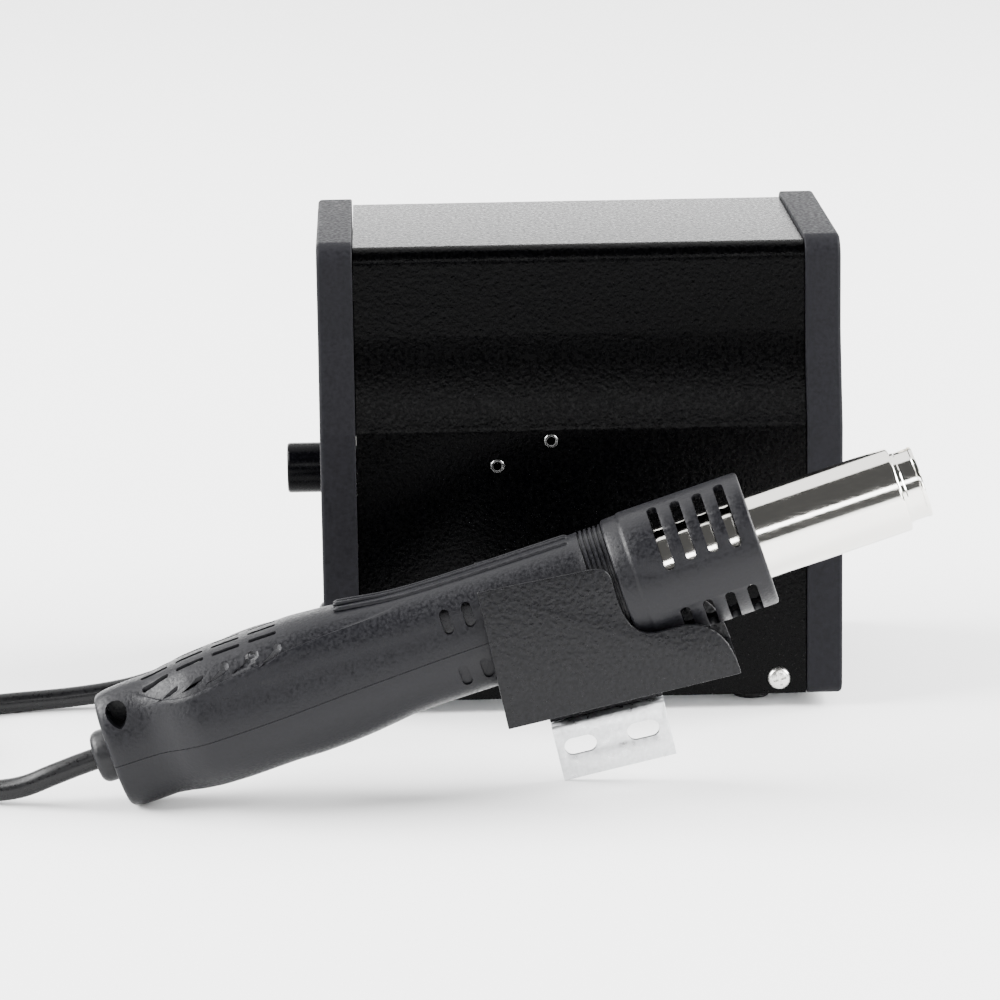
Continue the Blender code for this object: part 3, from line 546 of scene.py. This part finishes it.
WALL = 52.2
outer, inner = case_outline(1.8), case_outline(2.8)
skin = [(WALL, 4.4)] + outer[8:-8] + [(-WALL, 4.4)]
lining = [(WALL - 1, 4.4)] + inner[8:-8] + [(-WALL + 1, 4.4)]
cover = prism("cover", skin + lining[::-1], "Y", -67.5, 67.5, unit, "powder")
SCREWS = [(s, y) for s in (1, -1) for y in (-59.3, 59.3)]
SCREW_Z = 9.3
RIVNUTS = ((-25.4, 76.9), (-9.2, 84.3))
holes = [prism("c", circle(y, SCREW_Z, 2.2, 32), "X", s * 48, s * 56, unit, None) for s, y in SCREWS]
holes += [prism("c", circle(y, z, 1.8, 32), "X", 48, 56, unit, None) for y, z in RIVNUTS]
combine(cover, [merged(holes)])
own(cover, "station", "top_cover")

for i, (s, y) in enumerate(SCREWS):
    b = WALL + 0.05
    head = [(0, b + 2.1), (0.9, b + 2.08), (1.8, b + 1.97), (2.6, b + 1.7), (3.1, b + 1.3), (3.4, b + 0.85),
            (3.5, b + 0.4), (3.5, b), (1.9, b), (1.9, b - 5.6), (0, b - 6)]
    screw = lathe("pan_screw_%d" % (i + 1), [(r, s * h) for r, h in head], "X", (y, SCREW_Z),
                  unit, "steel", 48)
    cuts = []
    for ang in (0.3, 0.3 + math.pi / 2):
        c, d = math.cos(ang), math.sin(ang)
        arm = [(2.1 * c - 0.42 * d, 2.1 * d + 0.42 * c), (-2.1 * c - 0.42 * d, -2.1 * d + 0.42 * c),
               (-2.1 * c + 0.42 * d, -2.1 * d - 0.42 * c), (2.1 * c + 0.42 * d, 2.1 * d - 0.42 * c)]
        lo, hi = sorted((s * (b + 1.05), s * (b + 4)))
        cuts.append(prism("c", [(y + p, SCREW_Z + q) for p, q in arm], "X", lo, hi, unit, None))
    combine(screw, cuts)
    own(screw, "station", "side_screw_%d" % (i + 1))

for i, (y, z) in enumerate(RIVNUTS):
    ring = [(1.25, WALL + 0.2), (1.35, WALL + 0.42), (1.6, WALL + 0.5), (1.85, WALL + 0.45),
            (2.05, WALL + 0.25), (2.05, WALL + 0.03), (1.5, WALL + 0.03), (1.5, WALL - 5.5),
            (1.25, WALL - 5.5)]
    own(lathe("insert_%d" % (i + 1), ring, "X", (y, z), unit, "insert", 48), "station", "rivnut_%d" % (i + 1))

# front of the unit
kf, tipy = -77.0, -89.4
line = [(3.2, kf), (7.3, kf), (7.8, kf - 0.4), (7.8, tipy + 0.9), (7.65, tipy + 0.45), (7.3, tipy + 0.12),
        (6.9, tipy), (5.6, tipy), (5.2, tipy + 0.35), (0, tipy + 0.45), (0, -86.4), (3.2, -86.4)]
knob = lathe("knob", line, "Y", (0, 66.2), unit, "knob", 96)
combine(knob, [box("c", (-0.45, tipy - 1, 68.2), (0.45, tipy + 0.7, 75.2), unit, None)])
own(knob, "airflow_knob", "airflow_knob")
gl = [(3.5, -80.2), (5.2, -80.2), (6.3, -79.9), (7.2, -79.2), (7.6, -78.2), (7.6, -75.8), (5.8, -75.8),
      (5.8, -73.2), (7.9, -73.2), (7.9, -68.9), (3.5, -68.9)]
own(lathe("front_gland", gl, "Y", (35.0, 24.0), unit, "boot", 64), "station", "station_gland")

# ------------------------------------------------------------------ cradle
CHEEK = (
    (0.0, 0.0), (66.9, 0.0), (66.9, 1.6), (66.4, 5.2), (65.3, 9.2), (64.0, 11.8), (62.4, 13.8),
    (60.4, 15.6), (58.2, 16.7), (55.6, 17.3), (52.8, 17.45), (50.0, 17.3), (47.5, 17.25), (45.6, 17.4),
    (44.0, 17.8), (42.5, 18.5), (41.2, 19.7), (40.2, 21.1), (39.4, 22.9), (38.8, 24.9), (38.4, 27.2),
    (38.1, 30.5), (38.0, 34.6), (37.8, 36.0), (37.3, 37.2), (36.5, 38.1), (35.3, 38.7), (33.5, 39.1),
    (0.7, 40.5),
)
plates = []
for lo, hi in ((16.8, 18.3), (-18.3, -16.8)):
    plates.append(soften(prism("cheek", CHEEK, "X", lo, hi, cradle, "cradle"), 0.35, 3))
web = soften(box("web", (-17.8, 0.05, 0.0), (17.8, 66.85, 1.5), cradle, "cradle"), 0.1, 1)
skirt = soften(box("skirt", (-18.3, 10.9, -10.8), (-16.8, 44.1, 0.9), cradle, "cradle"), 0.3, 2)
channel = combine(plates[0], [web, plates[1], skirt], "UNION", 40.0)
channel.name = "channel"
own(channel, "station", "cradle_channel")
fx = -16.8
section = [(-18.6, -2.0), (-20.1, -2.0), (-20.1, -12.0), (-19.7, -12.6), (fx + 1.2, -12.6), (fx + 1.2, -27.8),
           (fx + 2.7, -27.8), (fx + 2.7, -12.3), (fx + 2.45, -11.55), (fx + 1.7, -11.1), (-18.6, -11.1)]
tab = prism("tab", section, "Y", 10.9, 44.1, cradle, "zinc")
combine(tab, [merged([prism("c", rounded(a, -18.5, 9.4, 5.0, 2.49, 8), "X", fx - 1, fx + 5, cradle, None)
                      for a in (17.9, 36.4)])])
soften(tab, 0.18, 2, 40)
own(tab, "station", "cradle_tab")

# ------------------------------------------------------------------ gun
# the handle's section is a superellipse of this power
POWER = 2.25
# distance back from the mouth, height above the axis, depth below it, half width
HANDLE = (
    (98.0, 17.8, 16.6, 15.2), (112.0, 18.0, 16.1, 15.0), (127.0, 18.2, 15.8, 15.0),
    (141.0, 18.5, 15.5, 15.2), (148.0, 18.8, 15.4, 15.5), (155.0, 19.5, 15.5, 16.0),
    (162.0, 20.6, 16.2, 16.6), (169.0, 21.7, 16.9, 17.3), (175.0, 22.6, 17.2, 18.1),
    (182.0, 23.3, 17.3, 19.1), (193.0, 23.4, 16.9, 20.3), (204.0, 23.3, 17.0, 20.5),
    (212.0, 22.8, 16.8, 20.0), (218.5, 21.7, 16.3, 17.6), (223.5, 20.5, 15.6, 14.4),
    (227.5, 19.9, 15.2, 12.6), (232.0, 19.8, 15.3, 12.0), (237.0, 19.5, 15.3, 11.8),
    (239.6, 18.8, 14.6, 11.4), (240.8, 17.5, 13.4, 10.4),
)
# distance back, angle of the crease above the parting line, in degrees
CREASE = (
    (98, 78), (146, 66), (152, 60), (160, 53), (172, 47), (185, 42.5), (200, 37.5), (212.7, 35),
    (220, 39), (226.4, 52), (231, 66), (241, 78),
)
# distance back, how far the vented top is set in behind the crease
INSET = (
    (98, 0), (146, 0), (156, 0.2), (168, 0.6), (180, 1.15), (193, 1.4), (206, 1.5), (216, 1.3),
    (223, 0.6), (229, 0), (241, 0),
)


def section_point(size, turn):
    top, bottom, half = size
    c, s = math.cos(turn), math.sin(turn)
    x = half * math.copysign(abs(c) ** (2 / POWER), c)
    return x, (top if s > 0 else bottom) * math.copysign(abs(s) ** (2 / POWER), s)


def handle_size(d):
    return [table_at(HANDLE, d, k) for k in (1, 2, 3)]


def half_ring(d, size, side, gap=0.07):
    pts = []
    if side > 0:
        edge, inset = table_at(CREASE, d), table_at(INSET, d)
        near = [edge * i / 14 for i in range(15)] + [edge + 0.8, edge + 2.4]
        near += [edge + 2.4 + (90 - edge - 2.4) * i / 18 for i in range(1, 19)]
        drop = [0.0] * 12 + [-0.10 * inset, -0.16 * inset, -0.06 * inset, 0.45 * inset] + [inset] * 19
        turns = list(zip(near, drop)) + [(180 - a, k) for a, k in reversed(list(zip(near, drop))[:-1])]
    else:
        turns = [(-180 * i / 56, 0.0) for i in range(57)]
    for i, (deg, inset) in enumerate(turns):
        fade = inset * min(1.0, abs(math.sin(math.radians(deg)) * 3))
        x, z = section_point([v - fade for v in size], math.radians(deg))
        if i in (0, len(turns) - 1):
            z = gap * side
        pts.append((x, -d, z))
    return pts


def handle_half(name, side):
    rings = []
    for d, s in ((84.6, (16.6, 16.6, 14.6)), (89.69, (16.6, 16.6, 14.6)), (89.7, (17.9, 17.4, 15.5))):
        rings.append(half_ring(d, s, side))
    for k in range(5):
        d = 90.2 + 1.4 * k
        rings.append(half_ring(d + 0.1, (17.9, 17.4, 15.5), side))
        rings.append(half_ring(d + 0.25, (17.3, 16.8, 15.0), side))
        rings.append(half_ring(d + 0.7, (17.3, 16.8, 15.0), side))
        rings.append(half_ring(d + 0.85, (17.9, 17.4, 15.5), side))
    d = 98.0
    while d < 238.8:
        rings.append(half_ring(d, handle_size(d), side))
        d += 1.5
    for back, d in ((0.0, 238.9), (0.15, 239.6), (0.5, 240.2), (1.0, 240.6), (1.7, 240.8)):
        rings.append(half_ring(d, [v - back for v in handle_size(238.9)], side))
    return loft(name, rings, gun, "handle", smooth=32.0)


def cavity():
    rings = []
    for d in [103.9] + [106 + 3 * k for k in range(39)] + [222.5, 227.0]:
        size = [v - 2.2 for v in handle_size(d)]
        if d > 226:
            size = [v - 2.5 for v in size]
        rings.append([(x, -d, z) for x, z in (section_point(size, 2 * math.pi * i / 40) for i in range(40))])
    return loft("c", rings, gun, None)


def oval_points(d, high, low, wide):
    pts = []
    for centre, start in ((high - wide / 2, 0), (low + wide / 2, 180)):
        for i in range(9):
            a = math.radians(start + 22.5 * i)
            pts.append((-d + wide / 2 * math.cos(a), centre + wide / 2 * math.sin(a)))
    return pts


def oval(d, high, low, wide, reach):
    """Cutter for an upright oval vent."""
    lo, hi = sorted(reach)
    return prism("c", oval_points(d, high, low, wide), "X", lo, hi, gun, None)


def groove(d, high, low, wide, flank, deep=0.8):
    """Shallow blind recess that follows the flank."""
    floor_ring, open_ring = [], []
    for y, z in oval_points(d, high, low, wide):
        top, bottom, half = handle_size(-y)
        side = half * max(0.0, 1 - (abs(z) / (top if z > 0 else bottom)) ** POWER) ** (1 / POWER)
        floor_ring.append((flank * (side - deep), y, z))
        open_ring.append((flank * 19.0, y, z))
    return loft("c", [floor_ring, open_ring], gun, None)


def teardrop(k, flank):
    """Drop-shaped cutter through one flank: round end up and forward, tail down and back."""
    d, z = 185.6 + 7.8 * k, (17.7, 17.8, 17.7, 17.3, 16.6)[k]
    pts = []
    for i in range(13):
        a = math.radians(-75 + 22 * i)
        pts.append((-d + 1.15 * math.cos(a), z + 1.15 * math.sin(a)))
    pts += [(-d - 2.6, z - 1.0), (-d - 4.6, z - 1.9), (-d - 6.4, z - 2.6), (-d - 4.2, z - 2.35),
            (-d - 1.8, z - 1.9)]
    near = (9.0, 9.0, 9.0, 12.4, 11.6)[k]
    lo, hi = sorted((flank * near, flank * 22))
    return prism("c", pts, "X", lo, hi, gun, None)


def cutters(side):
    throat = [(0, -82), (10.5, -82), (10.5, -104.2), (0, -104.2)]
    tools = [cavity(), lathe("c", throat, "Y", (0, 0), gun, None, 48),
             lathe("c", [(0, -227), (4.9, -227), (4.9, -242), (0, -242)], "Y", (0, 1.5), gun, None, 48)]
    many = []
    for flank in (1, -1):
        reach = (flank * 6, flank * 18)
        for d in (132.1, 138.5):
            many.append(oval(d, 12.6, 5.8, 2.9, reach) if side > 0 else groove(d, -3.6, -10.2, 2.9, flank))
        if side > 0:
            many += [teardrop(k, flank) for k in range(5)]
    if side > 0:
        for k in range(4):
            for x in (-6.9, -2.3, 2.3, 6.9):
                d = 189.2 + 10.9 * k
                slot = rounded(x, -d, 1.5, 8.4, 0.6, 3)
                many.append(prism("c", slot, "Z", 10.5, 27, gun, None))
        ring = [
            (-238.1, 15.0), (-237.6, 16.2), (-236.7, 17.0), (-235.6, 17.3), (-234.4, 17.3),
            (-233.3, 17.0), (-232.4, 16.2), (-231.9, 15.0), (-232.0, 13.8), (-232.5, 12.4),
            (-233.3, 11.1), (-234.2, 10.2), (-235.0, 9.8), (-235.8, 10.2), (-236.7, 11.1),
            (-237.5, 12.4), (-238.0, 13.8),
        ]
        many.append(prism("c", ring, "X", 0.5, 16, gun, None))
        many.append(prism("c", [(y, max(z, 12.1)) for y, z in ring], "X", -16, 0.6, gun, None))
    for x, d in ((-12.3, 100.5), (12.3, 100.5)):
        bore = [(0, -4), (1.6, -4), (1.6, 6.2), (0, 6.2)]
        if side < 0:
            bore = [(0, -30), (2.7, -30), (2.7, -5.6), (1.6, -5.6), (1.6, 6.2), (0, 6.2)]
        many.append(lathe("c", bore, "Z", (x, -d), gun, None, 32))
    return tools + [merged(many)]


top_half = combine(handle_half("handle_upper", 1), cutters(1), smooth=32.0)
bottom_half = combine(handle_half("handle_lower", -1), cutters(-1), smooth=32.0)
own(top_half, "gun", "handle_top")
own(bottom_half, "gun", "handle_bottom")

for x0 in (-4.3, 0.0, 4.3):
    rings = []
    stations = [99.3, 99.5, 99.9, 100.5] + [102 + 3 * k for k in range(22)] + [166.8, 167.5, 167.9, 168.1]
    for d in stations:
        size = handle_size(d)
        closest = min((math.radians(60 + 0.25 * i) for i in range(241)),
                      key=lambda a: abs(section_point(size, a)[0] - x0))
        x, z = section_point(size, closest)
        end = min(d - 99.3, 168.1 - d)
        grow = min(1.0, math.sqrt(max(0.02, end / 1.2)))
        rings.append([(x + 0.8 * grow * math.cos(a), -d, z - 0.15 + 0.75 * grow * math.sin(a))
                      for a in (2 * math.pi * j / 16 for j in range(16))])
    own(loft("grip_rib", rings, gun, "handle", smooth=60.0), "gun", slot="handle_top")

# the tail screws sit fully inside the bottom half
TAIL_SCREWS = [n for n in ("handle_screw_%d" % i for i in range(1, 5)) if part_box(n)[0].y < TIP.y - 200 * MM]
for name in TAIL_SCREWS:
    lo_s, hi_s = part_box(name)
    x = ((lo_s.x + hi_s.x) / 2 - TIP.x) / MM
    line = [(0, -8.4), (1.9, -8.4), (1.9, -6.9), (1.2, -6.7), (1.2, 5.8), (0, 6.0)]
    own(lathe("tail_screw_%s" % name[-1], line, "Z", (x, -234), gun, "steel", 24), "gun", name)

# grey sheets behind the vents: painted shade standing in for the dim insides seen through them
sleeve = [(12.4, -112), (12.7, -112), (12.7, -160), (12.4, -160)]
own(lathe("neck_vent_shade", sleeve, "Y", (0, 0), gun, "liner", 48), "gun", slot="impeller")
for flank in (1, -1):
    shield = [(-182.0, 14.6), (-182.0, 18.6), (-205.5, 18.6), (-208.0, 14.6)]
    lean = [[(flank * (9.6 + x + (18.6 - z) * 0.75), y, z) for y, z in shield] for x in (0.0, 0.5)]
    own(loft("vent_shade_sheet", lean, gun, "liner"), "gun", slot="impeller")


def collar():
    line = [(12.6, -48.7), (18.3, -48.7), (18.8, -48.78), (19.15, -49.0), (19.35, -49.35), (19.4, -49.8),
            (19.4, -83.6), (19.3, -84.1), (19.05, -84.5), (18.95, -85.0), (18.85, -88.6), (18.6, -89.1),
            (18.2, -89.4), (17.6, -89.4), (17.6, -50.6), (12.6, -50.6)]
    body = lathe("c", line, "Y", (0, 0), gun, "handle", 144)
    cuts = []
    spans = {54.8: 67.0, 61.3: 62.0, 67.8: 62.0, 74.4: 67.0}
    for d, span in spans.items():
        for q in range(4):
            rings = []
            mid = (45, 135, -128, -52)[q]
            wide = span if q < 2 else 56.0
            n = 40
            for i in range(n + 1):
                t = math.sin(math.pi / 2 * (-1 + 2 * i / n))
                a = math.radians(mid + t * wide / 2)
                end = (1 - abs(t)) * math.radians(wide / 2) * 19.4
                w = 1.45 if end > 1.45 else max(0.1, math.sqrt(max(0.0, 1.45 ** 2 - (1.45 - end) ** 2)))
                c, s = math.cos(a), math.sin(a)
                rings.append([(16.5 * c, -d - w, 16.5 * s), (21 * c, -d - w, 21 * s),
                              (21 * c, -d + w, 21 * s), (16.5 * c, -d + w, 16.5 * s)])
            cuts.append(loft("c", rings, gun, None))
    combine(body, [merged(cuts)])
    return body


vent = soften(collar(), 0.18, 2, 50, 32)
vent.name = "collar"
own(vent, "gun", "vent_collar")

tube = [(11.4, -8.0), (10.6, -7.2), (10.6, -6.5), (11.5, -6.5), (11.9, -6.62), (12.15, -6.9), (12.25, -7.3),
        (12.25, -80.6), (16.9, -80.6), (16.9, -82.0), (11.4, -82.0)]
own(lathe("barrel", tube, "Y", (0, 0), gun, "chrome", 144), "gun", "barrel_tube")
ring = [(9.0, -0.45), (9.12, -0.15), (9.4, 0.0), (9.85, 0.0), (10.1, -0.12), (10.25, -0.4), (10.25, -1.0),
        (10.05, -1.25), (10.05, -5.2), (10.25, -5.5), (10.25, -11.8), (9.0, -11.8)]
mouth = lathe("mouth_ring", ring, "Y", (0, 0), gun, "chrome", 128)
hook = [(-3.4, -3.6), (1.0, -3.6), (1.0, 1.0), (-1.0, 1.0), (-1.0, -1.8), (-3.4, -1.8)]
combine(mouth, [prism("c", hook, "Z", 7, 13, gun, None)])
own(mouth, "gun", "outlet_ring")
boot = [(3.4, -246.0), (5.4, -246.0), (6.3, -245.85), (6.9, -245.4), (7.4, -244.6), (7.6, -243.8),
        (7.6, -241.1), (4.6, -241.1), (4.6, -226.7), (6.3, -226.7), (6.3, -225.0), (3.4, -225.0)]
own(lathe("tail_gland", boot, "Y", (0, 1.5), gun, "boot", 64), "gun", "gun_gland")

# ------------------------------------------------------------------ carried-over pieces
CARRY = {
    "panel": ["front_panel", "rear_panel", "switch_housing", "iec_inlet", "fuse_drawer", "display_module",
              "blower_housing"],
    "gloss": ["power_rocker"], "button": ["button_up", "button_down"], "window": ["display_window"],
    "rubber": ["foot_%d" % i for i in range(1, 5)] + ["cord_tie"],
    "steel": (["potentiometer", "thermocouple", "blower_motor"]
              + [n for n in ("handle_screw_%d" % i for i in range(1, 5)) if n not in TAIL_SCREWS]),
    "zinc": ["base_plate"], "mica": ["mica_liner"], "ceramic": ["heater_core"], "element": ["heater_element"],
    "board": ["main_board", "handle_board"], "core": ["transformer_core"], "winding": ["transformer_winding"],
    "alu": ["heat_sink"], "sleeve": ["filter_capacitor", "start_capacitor"], "wheel": ["impeller"],
}
for mat, names in CARRY.items():
    for name in names:
        node = frame["nodes"][name]
        node.data.materials.clear()
        node.data.materials.append(MAT[mat])

# ------------------------------------------------------------------ floor and light
floor_look = Look("floor", (0.90, 0.90, 0.90), 0.9)
mesh = bpy.data.meshes.new("floor")
FLOOR = 6
corners = [(-FLOOR, -FLOOR, 0), (FLOOR, -FLOOR, 0), (FLOOR, FLOOR, 0), (-FLOOR, FLOOR, 0)]
mesh.from_pydata(corners, [], [(0, 1, 2, 3)])
mesh.materials.append(floor_look.mat)
floor = bpy.data.objects.new("floor", mesh)
bpy.context.scene.collection.objects.link(floor)


def soft_light(name, place, aim, size, power):
    data = bpy.data.lights.new(name, "AREA")
    data.shape = "RECTANGLE"
    data.size, data.size_y = size
    data.energy = power
    obj = bpy.data.objects.new(name, data)
    bpy.context.scene.collection.objects.link(obj)
    obj.location = place
    obj.rotation_euler = (Vector(aim) - Vector(place)).to_track_quat("-Z", "Y").to_euler()
    return obj


lights = [
    soft_light("overhead", (-1.3, 0.0, 1.7), (-1.3, 0.0, 0.0), (2.4, 3.0), 62.0),
    soft_light("behind", (-3.4, 0.0, 0.75), (0.0, 0.0, 0.3), (5.0, 1.5), 120.0),
    soft_light("left", (0.0, -2.2, 1.4), (0.0, 0.0, 0.0), (2.4, 1.5), 330.0),
    soft_light("right", (0.1, 2.2, 1.4), (0.0, 0.0, 0.0), (2.4, 1.5), 330.0),
    soft_light("front", (2.5, 0.0, 1.25), (0.0, 0.0, 0.05), (2.6, 0.45), 36.0),
    soft_light("near right", (0.50, 0.42, 0.16), (0.09, 0.05, 0.06), (0.22, 0.18), 1.5),
]
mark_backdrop(floor, *lights)

world = bpy.data.worlds.new("studio")
bpy.context.scene.world = world
world.use_nodes = True
bg = world.node_tree.nodes["Background"]
bg.inputs["Color"].default_value = (1.0, 1.0, 1.0, 1)
bg.inputs["Strength"].default_value = 0.10

# ------------------------------------------------------------------ sizes
lo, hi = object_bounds()
